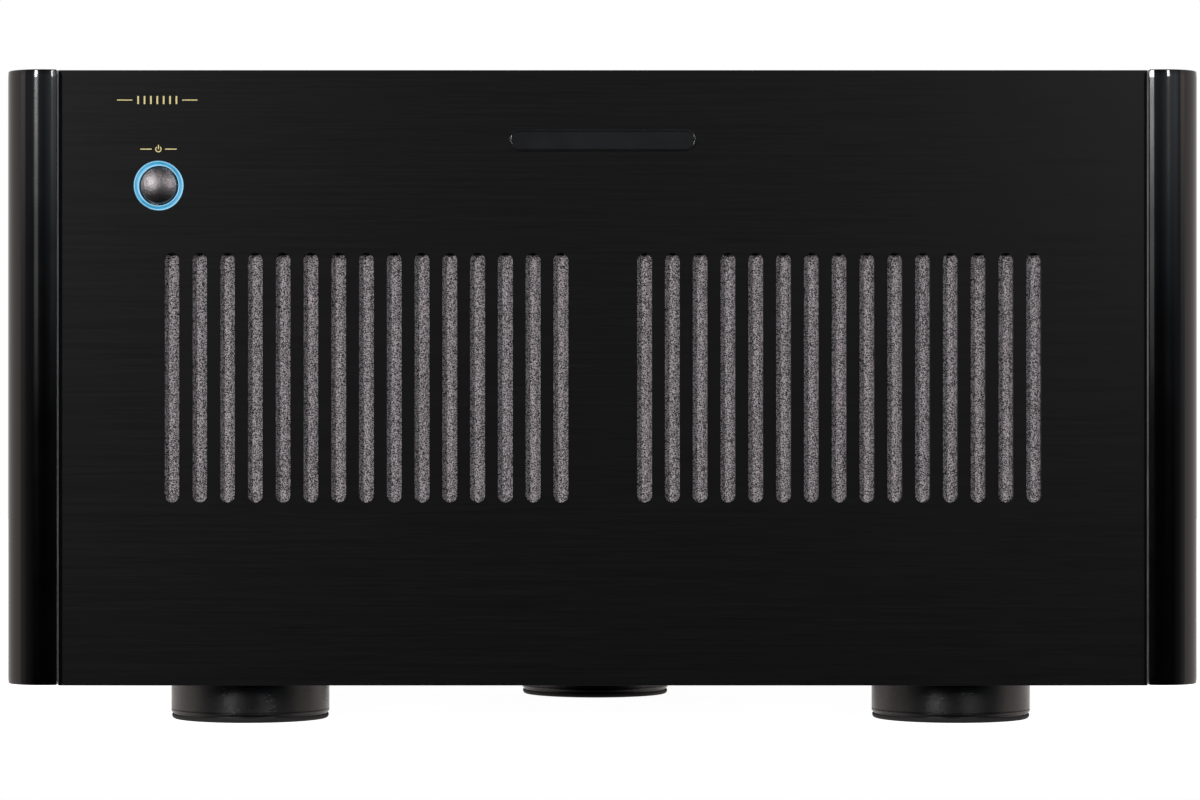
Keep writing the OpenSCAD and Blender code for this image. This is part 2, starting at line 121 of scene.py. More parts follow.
def inset(outline, depth):
    """The closed outline moved inwards by depth, with the same number of points."""
    points = [Vector(p) for p in outline]
    area = sum(a.x * b.y - b.x * a.y for a, b in zip(points, points[1:] + points[:1]))
    inward = 1 if area > 0 else -1
    made = []
    for i, point in enumerate(points):
        a = (point - points[i - 1]).normalized()
        b = (points[(i + 1) % len(points)] - point).normalized()
        normal = Vector((-(a.y + b.y), a.x + b.x))
        normal = normal.normalized() if normal.length > 1e-9 else Vector((-a.y, a.x))
        share = max(0.3, normal.dot(Vector((-a.y, a.x))))
        made.append(tuple(point + normal * inward * depth / share))
    return made


# Where a point (a, b) of an outline goes that is h along the axis from the place at.
PLANES = {
    "y": lambda at, a, b, h: (at[0] + a, at[1] + h, at[2] + b),
    "z": lambda at, a, b, h: (at[0] + a, at[1] + b, at[2] + h),
}


class Shape:
    """Closed solids gathered in one mesh, in millimetres."""

    def __init__(self):
        self.mesh = bmesh.new()

    def loft(self, rings, cyclic=False):
        """Skins rings of points in order. A ring of one point is a tip; open ends are capped."""
        made = [[self.mesh.verts.new(p) for p in ring] for ring in rings]
        pairs = list(zip(made, made[1:])) + ([(made[-1], made[0])] if cyclic else [])
        for a, b in pairs:
            count = max(len(a), len(b))
            for i in range(count):
                j = (i + 1) % count
                corners = [a[i % len(a)], a[j % len(a)], b[j % len(b)], b[i % len(b)]]
                self.mesh.faces.new(list(dict.fromkeys(corners)))
        for end in () if cyclic else (made[0], made[-1]):
            if len(end) > 2:
                self.mesh.faces.new(end)
        return self

    def lathe(self, profile, at=(0, 0, 0), axis="y", segments=64, cyclic=False, relief=None):
        """Turns (radius, height) pairs about an axis. relief(turn, radius) is how far a point moves in."""
        rings = []
        for radius, height in profile:
            if radius == 0:
                rings.append([PLANES[axis](at, 0, 0, height)])
                continue
            ring = []
            for k in range(segments):
                t = math.tau * k / segments
                r = radius - (relief(t, radius) if relief else 0)
                ring.append(PLANES[axis](at, r * math.cos(t), r * math.sin(t), height))
            rings.append(ring)
        return self.loft(rings, cyclic)

    def stack(self, levels, at, axis, cyclic=False):
        """Skins (outline, height) pairs in order."""
        rings = [[PLANES[axis](at, a, b, h) for a, b in outline] for outline, h in levels]
        return self.loft(rings, cyclic)

    def prism(self, outline, start, end, at=(0, 0, 0), axis="y", fillet=0.0, steps=4):
        """Extrudes an outline from start to end, with both rims rounded by fillet."""
        sign = 1 if end > start else -1
        stages = [(0.0, 0.0)]
        if fillet:
            turns = [math.pi / 2 * k / steps for k in range(steps + 1)]
            stages = [(fillet * (1 - math.sin(t)), fillet * (1 - math.cos(t))) for t in turns]
        levels = [(d, start + sign * h) for d, h in stages]
        levels += [(d, end - sign * h) for d, h in reversed(stages)]
        return self.stack([(inset(outline, d), h) for d, h in levels], at, axis)

    def band(self, outline, width, start, end, at=(0, 0, 0), axis="y"):
        """A frame: the outline's rim, width across, extruded from start to end."""
        inner = inset(outline, width)
        levels = [(outline, start), (outline, end), (inner, end), (inner, start)]
        return self.stack(levels, at, axis, cyclic=True)


def show(mesh, name, material, body, stands_for, crease):
    """Turns a mesh into a piece that rides on a body and stands for CAD nodes."""
    mesh.materials.clear()
    mesh.materials.append(material)
    mesh.shade_smooth()
    mesh.set_sharp_from_angle(angle=math.radians(crease))
    made = bpy.data.objects.new(name, mesh)
    bpy.context.scene.collection.objects.link(made)
    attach(made, body)
    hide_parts(*stands_for)
    return made


def keep_flats(made):
    """Shades flat faces flat beside their rounded edges."""
    modifier = made.modifiers.new("flats", "WEIGHTED_NORMAL")
    modifier.keep_sharp = True
    modifier.weight = 100


def piece(name, shape, material, slot, *stands_for, body="chassis", crease=35):
    """A piece drawn here."""
    bmesh.ops.recalc_face_normals(shape.mesh, faces=shape.mesh.faces)
    bmesh.ops.scale(shape.mesh, vec=(MM, MM, MM), verts=shape.mesh.verts)
    mesh = bpy.data.meshes.new(name)
    shape.mesh.to_mesh(mesh)
    shape.mesh.free()
    keep_flats(show(mesh, name, material, body, stands_for, crease))


def edged(node, name, material, width=0.25, steps=2, corner=40):
    """A finished copy of a CAD node whose sharp edges are broken by width."""
    source = frame["nodes"][node]
    mesh = source.data.copy()
    work = bmesh.new()
    work.from_mesh(mesh)
    bmesh.ops.remove_doubles(work, verts=work.verts, dist=1e-6)
    bmesh.ops.dissolve_limit(work, angle_limit=math.radians(1), verts=work.verts, edges=work.edges)
    work.to_mesh(mesh)
    work.free()
    made = show(mesh, name, material, source["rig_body"], [node], corner)
    bevel = made.modifiers.new("edges", "BEVEL")
    bevel.width = width * MM
    bevel.segments = steps
    bevel.limit_method = "ANGLE"
    bevel.angle_limit = math.radians(corner)
    bevel.use_clamp_overlap = False
    keep_flats(made)


def painted(node, material):
    """Gives a CAD node that stays as it is its finished material."""
    slots = frame["nodes"][node].data.materials
    slots.clear()
    slots.append(material)


# ---- materials ----


class Finish:
    """A procedural material on one Principled shader, laid out by object coordinates."""

    def __init__(self, name, colour, roughness, **sockets):
        self.material = bpy.data.materials.new(name)
        self.material.use_nodes = True
        self.tree = self.material.node_tree
        self.shader = self.tree.nodes["Principled BSDF"]
        self.colour = colour
        self.roughness = roughness
        self.set(self.shader, {"Base Color": (*colour, 1), "Roughness": roughness})
        self.set(self.shader, {key.replace("_", " "): value for key, value in sockets.items()})
        self.place = self.tree.nodes.new("ShaderNodeTexCoord").outputs["Object"]

    def set(self, node, inputs):
        for key, value in inputs.items():
            if isinstance(value, bpy.types.NodeSocket):
                self.tree.links.new(value, node.inputs[key])
            else:
                node.inputs[key].default_value = value

    def add(self, kind, inputs, **settings):
        node = self.tree.nodes.new("ShaderNode" + kind)
        for key, value in settings.items():
            setattr(node, key, value)
        self.set(node, inputs)
        return node

    def noise(self, size, stretch=(1, 1, 1), detail=2.0):
        """Noise with features about size mm across, drawn out along each axis by stretch."""
        scale = [1 / (size * MM * s) for s in stretch]
        place = self.add("Mapping", {"Vector": self.place, "Scale": scale}).outputs[0]
        texture = self.add("TexNoise", {"Vector": place, "Scale": 1.0, "Detail": detail})
        return texture.outputs["Fac"]

    def span(self, value, low, high, start=0.35, end=0.65):
        inputs = {"Value": value, "From Min": start, "From Max": end, "To Min": low, "To Max": high}
        return self.add("MapRange", inputs).outputs[0]

    def mix(self, share, dark, light):
        inputs = {"Factor": share, 6: (*dark, 1), 7: (*light, 1)}
        return self.add("Mix", inputs, data_type="RGBA").outputs[2]

    def mottle(self, value, spread, start=0.35, end=0.65):
        """Varies the base colour by spread either way."""
        dark = [c * (1 - spread) for c in self.colour]
        light = [c * (1 + spread) for c in self.colour]
        self.set(self.shader, {"Base Color": self.mix(self.span(value, 0, 1, start, end), dark, light)})

    def sheen_spots(self, value, spread):
        """Varies the roughness by spread either way."""
        low, high = self.roughness - spread, self.roughness + spread
        self.set(self.shader, {"Roughness": self.span(value, low, high)})

    def relief(self, height, depth):
        """Raises the surface by up to depth mm."""
        bump = self.add("Bump", {"Height": height, "Strength": 1.0, "Distance": depth * MM})
        self.set(self.shader, {"Normal": bump.outputs[0]})


def coated(name, colour, roughness, grain, depth, spread=0.2, uneven=0.05, stretch=(1, 1, 1), **sockets):
    """A finish with a fine relief of grain mm and slow changes of colour and gloss."""
    made = Finish(name, colour, roughness, **sockets)
    fine = made.noise(grain, stretch)
    broad = made.noise(grain * 40, stretch, 4.0)
    both = made.add("Math", {0: fine, 1: broad}, operation="ADD").outputs[0]
    half = made.add("Math", {0: both, 1: 0.5}, operation="MULTIPLY").outputs[0]
    made.mottle(half, spread)
    made.sheen_spots(broad, uneven)
    made.relief(fine, depth)
    return made.material


def brushed_front():
    """Black anodised aluminium, brushed along its length."""
    made = Finish("brushed_black", (0.0028, 0.0028, 0.0031), 0.33, Specular_IOR_Level=0.155)
    lines = made.noise(0.22, (90, 1, 1), 3.0)
    bands = made.noise(1.2, (60, 1, 1), 2.0)
    made.mottle(lines, 0.5)
    made.sheen_spots(bands, 0.02)
    made.relief(lines, 0.0015)
    return made.material


def speckled_grey():
    """Textured powder coat in two tones."""
    made = Finish("speckled_grey", (0.29, 0.258, 0.271), 0.75)
    grain = made.noise(0.34, detail=1.0)
    clumps = made.noise(1.0, detail=2.0)
    both = made.add("Math", {0: clumps, 1: 0.04, 2: grain}, operation="MULTIPLY_ADD").outputs[0]
    made.mottle(both, 0.95, 0.46, 0.60)
    made.relief(grain, 0.10)
    return made.material


def gloss_black():
    """Polished black lacquer with a faint ripple."""
    made = Finish("gloss_black", (0.0006, 0.0006, 0.0007), 0.10)
    made.mottle(made.noise(6.0), 0.2)
    made.sheen_spots(made.noise(18.0, detail=4.0), 0.012)
    made.relief(made.noise(30.0, (1, 1, 4)), 0.001)
    return made.material


def ring_light():
    """Blue light guide: bright rims, a deeper channel, and bright side walls."""
    centre = middle("led_ring") * MM
    low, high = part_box("led_ring")
    made = Finish("ring_light", (0.01, 0.03, 0.05), 0.3)
    offset = made.add("VectorMath", {0: made.place, 1: (centre.x, 0, centre.z)}, operation="SUBTRACT")
    flat = made.add("VectorMath", {0: offset.outputs[0], 1: (1, 0, 1)}, operation="MULTIPLY")
    radius = made.add("VectorMath", {0: flat.outputs[0]}, operation="LENGTH").outputs["Value"]
    outer = (high.x - low.x) / 2
    waist = made.add("Math", {0: radius, 1: outer - 0.95 * MM}, operation="SUBTRACT").outputs[0]
    away = made.add("Math", {0: waist}, operation="ABSOLUTE").outputs[0]
    share = made.span(away, 0, 1, 0.40 * MM, 0.52 * MM)
    cloud = made.noise(4.0)
    channel = made.mix(made.span(cloud, 0, 1), (0.03, 0.25, 0.44), (0.07, 0.37, 0.60))
    rims = (0.30, 0.66, 0.92, 1)
    glow = made.add("Mix", {"Factor": share, 6: channel, 7: rims}, data_type="RGBA").outputs[2]
    made.set(made.shader, {"Emission Color": glow, "Emission Strength": 1.0})
    return made.material


def wound_wire():
    """Copper wire under yellow-brown varnished tape."""
    made = Finish("wound_wire", (0.36, 0.15, 0.03), 0.38, Coat_Weight=0.4)
    made.mottle(made.noise(1.2, (1, 1, 12)), 0.35)
    made.relief(made.noise(0.6, (1, 1, 20)), 0.05)
    return made.material


def board_green():
    """Solder mask over copper tracks."""
    made = Finish("board_green", (0.015, 0.10, 0.04), 0.32)
    cells = made.add("Mapping", {"Vector": made.place, "Scale": (420, 420, 420)}).outputs[0]
    tracks = made.add("TexVoronoi", {"Vector": cells, "Scale": 1.0}, distance="CHEBYCHEV")
    share = made.span(tracks.outputs["Distance"], 0, 1, 0.30, 0.34)
    made.set(made.shader, {"Base Color": made.mix(share, (0.012, 0.085, 0.033), (0.03, 0.17, 0.07))})
    made.relief(share, 0.03)
    return made.material


FINISH = {
    "brushed": brushed_front(),
    "gloss": gloss_black(),
    "speckled": speckled_grey(),
    "ring": ring_light(),
    "wire": wound_wire(),
    "board": board_green(),
    "badge": coated("badge_black", (0.006, 0.006, 0.0065), 0.16, 0.5, 0.001),
    "button": coated("button_satin", (0.16, 0.147, 0.149), 0.31, 0.4, 0.10, 0.3, Metallic=1.0),
    "steel": coated("black_powder_coat", (0.014, 0.014, 0.015), 0.62, 0.45, 0.03, 0.12, 0.015,
                    Specular_IOR_Level=0.3),
    "cut_edge": coated("cut_edge", (0.42, 0.42, 0.44), 0.4, 0.4, 0.003, 0.1, 0.03, Metallic=1.0),
    "foot": coated("foot_moulding", (0.001, 0.001, 0.001), 0.26, 0.45, 0.07, 0.25, Specular_IOR_Level=0.55),
    "rubber": coated("rubber", (0.012, 0.012, 0.012), 0.75, 0.35, 0.02, 0.3),
    "sink": coated("black_anodised_sink", (0.018, 0.018, 0.02), 0.42, 0.3, 0.006, 0.3, 0.05, (1, 1, 60)),
    "plastic": coated("moulded_black", (0.012, 0.012, 0.0125), 0.42, 0.3, 0.006),
    "insert": coated("insert_black", (0.008, 0.008, 0.008), 0.55, 0.3, 0.004),
    "zinc": coated("zinc_plate", (0.58, 0.58, 0.6), 0.32, 1.2, 0.006, 0.15, 0.08, Metallic=1.0),
    "can": coated("can_sleeve", (0.012, 0.022, 0.06), 0.3, 0.8, 0.004, 0.2, 0.05, (1, 1, 6)),
    "aluminium": coated("can_top", (0.62, 0.62, 0.64), 0.35, 0.5, 0.004, 0.1, 0.06, Metallic=1.0),
    "gold": coated("gold_plate", (0.83, 0.56, 0.2), 0.2, 0.5, 0.002, 0.08, 0.05, Metallic=1.0),
    "white": coated("white_moulding", (0.78, 0.78, 0.74), 0.4, 0.4, 0.004, 0.06),
    "pin": coated("nickel_plate", (0.7, 0.69, 0.66), 0.24, 0.4, 0.002, 0.1, 0.05, Metallic=1.0),
    "screw": coated("black_oxide", (0.035, 0.035, 0.037), 0.38, 0.3, 0.006, 0.3, Metallic=0.8),
    "lever": coated("grey_moulding", (0.22, 0.22, 0.225), 0.45, 0.3, 0.005),
    "red": coated("red_cap", (0.42, 0.008, 0.006), 0.3, 0.3, 0.004, 0.15, Coat_Weight=0.3),
    "black": coated("black_cap", (0.01, 0.01, 0.0105), 0.3, 0.3, 0.004, 0.15, Coat_Weight=0.3),
    "print": coated("white_print", (0.6, 0.6, 0.58), 0.6, 0.3, 0.002, 0.08),
    "gold_print": coated("gold_print", (0.86, 0.73, 0.31), 0.5, 0.3, 0.002, 0.1),
    "chip": coated("moulded_chip", (0.015, 0.015, 0.016), 0.5, 0.25, 0.006),
}


# ---- printed marks ----


class Print:
    """Thin ink strokes on an upright face. u runs to the reader's right, v upwards."""

    def __init__(self, y, facing, height=0.05):
        self.shape = Shape()
        self.y = y
        self.facing = facing
        self.height = height

    def stroke(self, origin, points, width):
        """A line through points, as one strip for each stretch."""
        for start, end in zip(points, points[1:]):
            a, b = Vector(start), Vector(end)
            along = (b - a).normalized() * width / 2
            across = Vector((-along.y, along.x))
            corners = [a - along - across, b + along - across, b + along + across, a - along + across]
            outline = [(-self.facing * c.x, c.y) for c in corners]
            at = (origin[0], self.y, origin[1])
            self.shape.prism(outline, 0, self.facing * self.height, at)

    def ring(self, origin, radius, width, start=0, end=360):
        """A round line, or a part of one."""
        steps = 40
        outer = arc((0, 0), radius, start, end, steps)
        inner = arc((0, 0), radius - width, end, start, steps)
        at = (origin[0], self.y, origin[1])
        if end - start == 360:
            self.shape.band(outer[:-1], width, 0, self.facing * self.height, at)
        else:
            self.shape.prism(outer + inner, 0, self.facing * self.height, at)

    def frame(self, origin, width, height, radius, line):
        outline = rounded(rectangle(width, height), radius)
        at = (origin[0], self.y, origin[1])
        self.shape.band(outline, line, 0, self.facing * self.height, at)

    def power_sign(self, origin, radius, line):
        """The usual sign for a power switch: a broken ring with an upright line in the gap."""
        self.ring(origin, radius, line, -235, 55)
        self.stroke(origin, [(0, 0.15 * radius), (0, 1.15 * radius)], line)


# Plain stroke numerals in a cell two units wide and four high.
NUMERALS = {
    1: [[(0.3, 3.2), (1, 4), (1, 0)]],
    2: [[(0, 4), (2, 4), (2, 2), (0, 2), (0, 0), (2, 0)]],
    3: [[(0, 4), (2, 4), (2, 0), (0, 0)], [(0.6, 2), (2, 2)]],
    4: [[(0, 4), (0, 1.8), (2, 1.8)], [(1.5, 4), (1.5, 0)]],
    5: [[(2, 4), (0, 4), (0, 2), (2, 2), (2, 0), (0, 0)]],
    6: [[(2, 4), (0, 4), (0, 0), (2, 0), (2, 2), (0, 2)]],
    7: [[(0, 4), (2, 4), (0.8, 0)]],
}


# ---- front ----

PILLAR_NOSE_R = 13.6
PILLAR_WALL = 2.3
PILLAR_EDGE = 0.6   # rounding of the pillars' outer edges
SEAM_EDGE = 0.25    # and of the edge beside the front plate
CROWN = 3.0         # the pillars draw in over this length at each end
CROWN_SINK = 0.12   # by this much


def pillar(node, side, name):
    """Corner pillar: a round nose that runs back into a thin side wall."""
    low, high = box(node)
    seam, outer = sorted((abs(low.x), abs(high.x)))
    back = box("front_plate")[1].y
    wall = outer - PILLAR_WALL
    nose = (outer - PILLAR_NOSE_R, low.y + PILLAR_NOSE_R)
    seam_turn = -math.degrees(math.acos((seam - nose[0]) / PILLAR_NOSE_R))
    curve = arc(nose, PILLAR_NOSE_R, seam_turn, 0, 72)
    seam_corner, nose_curve = curve[0], curve[4:]  # the points between give way to the rounded corner
    corners = [(seam, back), seam_corner, *nose_curve, (outer, high.y), (wall, high.y), (wall, back)]
    radii = [0.1, SEAM_EDGE, *[0] * len(nose_curve), PILLAR_EDGE, PILLAR_EDGE, 0.1]
    outline = rounded(corners, radii)
    bend = PILLAR_EDGE * 0.75
    turns = [math.pi / 16 * k for k in range(9)]
    stages = [(CROWN_SINK + bend * (1 - math.sin(t)), bend * (1 - math.cos(t))) for t in turns]
    stages += [(CROWN_SINK * (1 - k / 6) ** 2, bend + (CROWN - bend) * k / 6) for k in range(1, 7)]
    levels = [(d, low.z + h) for d, h in stages] + [(d, high.z - h) for d, h in reversed(stages)]
    shape = Shape().loft([[(side * x, y, z) for x, y in inset(outline, d)] for d, z in levels])
    piece(name, shape, FINISH["gloss"], "gloss_pillar", node, crease=50)


def seam_lines():
    """The plate's two cut edges, which show as thin light lines beside the pillars."""
    low, high = box("front_plate")
    gap, recess, depth = 0.03, 0.1, 1.0
    shape = Shape()
    for side in (-1, 1):
        near, far = high.x + gap, box("right_pillar")[0].x - gap
        outline = [(near, low.y + recess), (far, low.y + recess), (far, low.y + depth), (near, low.y + depth)]
        shape.prism([(side * x, y) for x, y in outline], low.z + recess, high.z - recess, axis="z")
    piece("plate_cut_edges", shape, FINISH["cut_edge"], "anodised_front")


def badge():
    """A blank badge with a polished rim."""
    low, high = box("front_badge")
    size = high - low
    centre = (low + high) / 2
    plane = (centre.x, 0, centre.z)
    rim = 0.15
    line = 0.45
    shape = Shape().prism(stadium(size.x, size.z), high.y, low.y + rim, plane, fillet=0.25)
    outline = inset(stadium(size.x, size.z), 0.4)
    inner = inset(outline, line)
    edge = 0.12
    levels = [(outline, low.y + rim + 0.1), (outline, low.y + edge), (inset(outline, edge), low.y),
              (inset(inner, -edge), low.y), (inner, low.y + edge), (inner, low.y + rim + 0.1)]
    shape.stack(levels, plane, "y", cyclic=True)
    piece("blank_badge", shape, FINISH["badge"], "black_badge", "front_badge", crease=50)


def light_ring():
    """Light guide with a shallow channel between two rims."""
    low, high = box("led_ring")
    centre = middle("led_ring")
    outer = (high.x - low.x) / 2 - 0.2
    inner = outer - 1.5
    dip = 0.45
    channel = [(inner + 0.75 + 0.45 * math.cos(t), low.y + dip * math.sin(t))
               for t in (math.radians(180 - 15 * k) for k in range(13))]
    profile = [(inner, high.y), (inner, low.y + 0.12), (inner + 0.12, low.y), *channel,
               (outer - 0.12, low.y), (outer, low.y + 0.12), (outer, high.y)]
    shape = Shape().lathe(profile, (centre.x, 0, centre.z), segments=128, cyclic=True)
    piece("light_guide_ring", shape, FINISH["ring"], "blue_light", "led_ring", crease=60)


def power_button():
    """Shallow satin dome on a skirt, with its flange and stem behind."""
    low, high = box("power_button")
    centre = middle("power_button")
    radius = 6.45
    dome_h = 1.3
    sphere = (radius ** 2 + dome_h ** 2) / (2 * dome_h)
    edge = 0.2
    limit = math.asin((radius - edge) / sphere)
    dome = [(sphere * math.sin(limit * k / 20), low.y + sphere * (1 - math.cos(limit * k / 20)))
            for k in range(1, 21)]
    flange = high.y - 6.3
    top = dome[-1][1]
    corner = [(radius - edge + edge * math.sin(t), top + edge * 1.4 * (1 - math.cos(t)))
              for t in (math.radians(22.5 * k) for k in range(1, 5))]
    profile = [(0, low.y), *dome, *corner, (radius, flange), (8.4, flange), (8.4, flange + 1.5),
               (2, flange + 1.5), (2, high.y - 0.3), (1.7, high.y), (0, high.y)]
    shape = Shape().lathe(profile, (centre.x, 0, centre.z), segments=96)
    piece("button_dome", shape, FINISH["button"], "satin_button", "power_button", body="power_button")


def front_marks():
    """Gold marks: a power sign over the button and a seven-bar sign in the top corner."""
    ink = Print(box("front_plate")[0].y, -1)
    line = 0.36
    button = middle("power_button")
    sign = (button.x, button.z + 13.1)
    ink.power_sign(sign, 1.15, line)
    for side in (-1, 1):
        ink.stroke(sign, [(side * 2.6, 0), (side * 6.4, 0)], line)
    row = (-160.7, 226.2)
    for k in range(-3, 4):
        ink.stroke(row, [(k * 2.3, -1.15), (k * 2.3, 1.15)], 0.6)
    for side in (-1, 1):
        ink.stroke(row, [(side * 9.2, 0), (side * 14.3, 0)], line)
    piece("front_marks", ink.shape, FINISH["gold_print"], "gold_plate")


def front():
    edged("front_plate", "brushed_front_plate", FINISH["brushed"], 0.12, 2)
    pillar("left_pillar", -1, "left_gloss_pillar")
    pillar("right_pillar", 1, "right_gloss_pillar")
    seam_lines()
    painted("front_subpanel", FINISH["speckled"])
    badge()
    light_ring()
    power_button()
    front_marks()


# ---- case ----


def case():
    for node, name in (("top_cover", "vented_top_cover"), ("base_plate", "vented_base_plate")):
        edged(node, name, FINISH["steel"], 0.2, 1)
    for side in ("left", "right"):
        edged(f"{side}_side_panel", f"{side}_side_sheet", FINISH["steel"], 0.3)
    edged("rear_panel", "drilled_rear_panel", FINISH["steel"], 0.2, 1)


FOOT_R = 29.3
FOOT_BORE = 9       # radius of the recess for the foot's screw
FOOT_SEAT = 8       # height of the recess's end, where the screw's head sits
FIFTH_FOOT_Y = -45


def foot_places():
    """Centres of the four corner feet and of the fifth one on the centre line."""
    low, high = box("foot_bodies")
    xs = (low.x + FOOT_R, high.x - FOOT_R)
    ys = (low.y + FOOT_R, high.y - FOOT_R)
    return [(x, y) for x in xs for y in ys] + [(0, FIFTH_FOOT_Y)]


def feet():
    """Turned feet with a fine line and a groove above a ribbed rubber pad."""
    top = box("foot_bodies")[1].z
    pad = box("foot_pads")[1].z
    r = FOOT_R
    hole = 2.1
    body = [(hole, FOOT_SEAT), (FOOT_BORE, FOOT_SEAT), (FOOT_BORE, pad), (r - 0.8, pad), (r - 0.8, pad + 0.6)]
    body += arc((r - 0.6, pad + 1.2), 0.6, -90, 0, 5)
    body += [(r, 3.3), (r - 0.3, 3.45), (r - 0.3, 3.6), (r, 3.75)]
    body += [(r, top - 0.4), (r - 0.4, top), (hole, top)]
    ribs = [(FOOT_BORE, pad), (FOOT_BORE, 0.3), (FOOT_BORE + 0.3, 0)]
    for rib in (13, 17, 21, 25):
        ribs += [(rib, 0), (rib + 0.3, 0.4), (rib + 1.2, 0.4), (rib + 1.5, 0)]
    rubber = ribs + [(r - 1.1, 0), (r - 0.6, 0.25), (r - 0.25, 0.8), (r - 0.25, pad - 0.2), (r - 0.4, pad)]
    bodies, pads = Shape(), Shape()
    for x, y in foot_places():
        bodies.lathe(body, (x, y, 0), "z", 128, cyclic=True)
        pads.lathe(rubber, (x, y, 0), "z", 128, cyclic=True)
    piece("turned_feet", bodies, FINISH["foot"], "foot_plastic", "foot_bodies")
    piece("ribbed_pads", pads, FINISH["rubber"], "foot_rubber", "foot_pads")


# ---- fasteners ----


def hexagon_cut(radius):
    """How far a circle's points move in to make a hexagon with that corner radius."""
    def cut(turn, r):
        if abs(r - radius) > 1e-6:
            return 0
        off = (math.degrees(turn) % 60) - 30
        return radius - radius * math.cos(math.radians(30)) / math.cos(math.radians(off))
    return cut


def screw(shape, at, axis, out, head_r, head_h, shank_r, shank_l):
    """A pan-head screw with a hexagon socket. out is the way the head points along its axis."""
    socket = head_r * 0.5
    pan = [(head_r, 0), (head_r, head_h * 0.45)]
    pan += [(head_r - 0.32 * head_r * (1 - math.cos(t)), head_h * (0.45 + 0.55 * math.sin(t)))
            for t in (math.radians(18 * k) for k in range(1, 6))]
    heights = [(0, -shank_l), (shank_r * 0.7, -shank_l), (shank_r, -shank_l + 0.4), (shank_r, 0), *pan,
               (socket + 0.12, head_h), (socket, head_h - 0.1), (socket, head_h * 0.25), (0, head_h * 0.2)]
    profile = [(r, out * h) for r, h in heights]
    shape.lathe(profile, at, axis, 36, relief=hexagon_cut(socket))


def nut(shape, at, corner_r, height, bore_r):
    """A hexagon nut with chamfered corners."""
    profile = [(bore_r, 0), (corner_r * 0.93, 0), (corner_r, height * 0.15), (corner_r, height * 0.85),
               (corner_r * 0.93, height), (bore_r + 0.4, height), (bore_r, height - 0.4)]
    shape.lathe(profile, at, "z", 36, cyclic=True, relief=hexagon_cut(corner_r))


CHANNEL_X = [(middle(f"red_terminal_{c}").x + middle(f"black_terminal_{c}").x) / 2 for c in CHANNELS]
REAR_Y = box("rear_panel")[1].y
COVER_Z = box("top_cover")[1].z
BASE_TOP = box("base_plate")[1].z
SEAM_SCREW_X = box("right_side_panel")[1].x - 7.5
XLR_Z = middle("xlr_shells").z
INLET = middle("mains_inlet")
ROCKER = middle("rocker_frame")
BRIDGES = middle("rectifier_bridges")
BRIDGE_X = 45


def fasteners():
    """Case, socket, bridge and foot screws, the feet's nuts and the supply board's standoffs."""
    shape = Shape()
    bridge_top = box("rectifier_bridges")[1].z
    standoff = [(0, 0), (2.7, 0), (3, 0.3), (3, 16.2), (2.7, 16.5), (0, 16.5)]
    for side in (-1, 1):
        x = side * SEAM_SCREW_X
        for y in range(-170, 171, 85):
            screw(shape, (x, y, COVER_Z), "z", 1, 3, 1, 1.5, 6)
        for z in (32, 90, 160, 222):
            screw(shape, (x, REAR_Y, z), "y", 1, 3, 1.4, 1.5, 6)
        screw(shape, (INLET.x + side * 20, REAR_Y + 2.5, INLET.z), "y", 1, 3, 1.2, 1.5, 8)
        screw(shape, (side * BRIDGE_X, BRIDGES.y, bridge_top), "z", 1, 4, 2.4, 2, 13.5)
        for channel_x in CHANNEL_X:
            screw(shape, (channel_x + side * 9.5, REAR_Y + 2, XLR_Z + side * 12), "y", 1, 2.6, 0.9, 1.5, 6)
        for y in (3, 89):
            shape.lathe(standoff, (side * 92, y, BASE_TOP), "z", 6)
    for x, y in foot_places():
        screw(shape, (x, y, FOOT_SEAT), "z", -1, 4, 2.4, 2, 14)
        nut(shape, (x, y, BASE_TOP), 4, 3.2, 2.02)
    piece("black_screws", shape, FINISH["screw"], "black_screw", "screws_and_standoffs", crease=30)


# ---- rear ----


def terminals():
    for c in CHANNELS:
        edged(f"red_terminal_{c}", f"red_screw_cap_{c}", FINISH["red"], 0.3)
        edged(f"black_terminal_{c}", f"black_screw_cap_{c}", FINISH["black"], 0.3)
        edged(f"input_selector_{c}", f"selector_lever_{c}", FINISH["lever"], 0.3)


def connectors():
    edged("post_stems", "gold_posts", FINISH["gold"], 0.2)
    edged("post_bases", "post_insulators", FINISH["plastic"], 0.4, 3)
    edged("xlr_shells", "balanced_socket_shells", FINISH["plastic"], 0.3)
    edged("xlr_inserts", "balanced_socket_inserts", FINISH["insert"], 0.2)
    edged("rca_shells", "phono_socket_shells", FINISH["gold"], 0.2)
    edged("rca_inserts", "phono_socket_inserts", FINISH["white"], 0.15)
    edged("mains_inlet", "inlet_moulding", FINISH["plastic"], 0.3)
    edged("mains_pins", "inlet_blades", FINISH["pin"], 0.3)
    edged("rocker_frame", "rocker_bezel", FINISH["plastic"], 0.3)
    edged("mains_rocker", "rocker_paddle", FINISH["black"], 0.4, 3, corner=50)
    edged("trigger_jacks", "trigger_sockets", FINISH["plastic"], 0.25)


